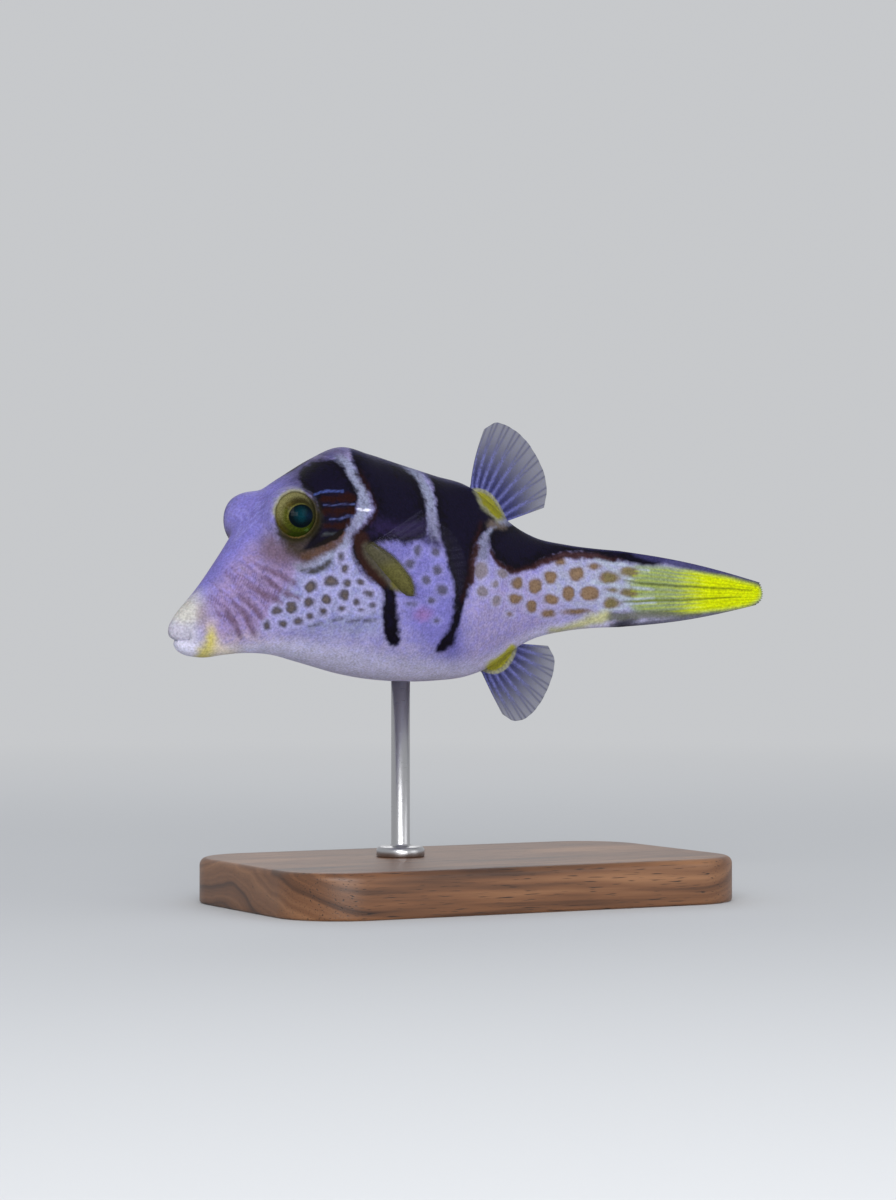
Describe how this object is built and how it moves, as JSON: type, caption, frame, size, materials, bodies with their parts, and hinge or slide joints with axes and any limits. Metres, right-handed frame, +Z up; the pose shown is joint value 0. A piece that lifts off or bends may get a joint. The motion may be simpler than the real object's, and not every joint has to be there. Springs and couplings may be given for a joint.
{
  "type": "reef fish museum model on a stand",
  "caption": "Small sharp-nosed puffer fish model with dark saddles, spotted flanks and fanned fins, held level by a thin rod on a rounded wooden base.",
  "frame": {"origin": "centre of the bounding box in plan, on the underside of the stand's base", "axes": "+X from the snout to the tail, +Y to the fish's right side, +Z up"},
  "size_m": [0.0886, 0.04, 0.0639],
  "materials": {
    "skin": "scaleless satin skin with fine prickles, lilac and white with black-brown saddles and brown spots",
    "fin": "clear violet-grey membrane with paler rays and a yellow fleshy foot",
    "tail_fin": "yellow membrane with blue-grey upper and lower margins",
    "eye": "clear, wet, teal pupil in a yellow-green iris",
    "walnut": "oiled walnut",
    "steel": "satin stainless rod"
  },
  "bodies": {
    "root": {"head": "skin", "trunk": "skin", "tail": "skin", "dorsal_fin": "fin", "anal_fin": "fin", "caudal_fin": "tail_fin", "pectoral_fin_left": "fin", "pectoral_fin_right": "fin", "eye_left": "eye", "eye_right": "eye", "stand_base": "walnut", "stand_rod": "steel"}
  },
  "joints": []
}
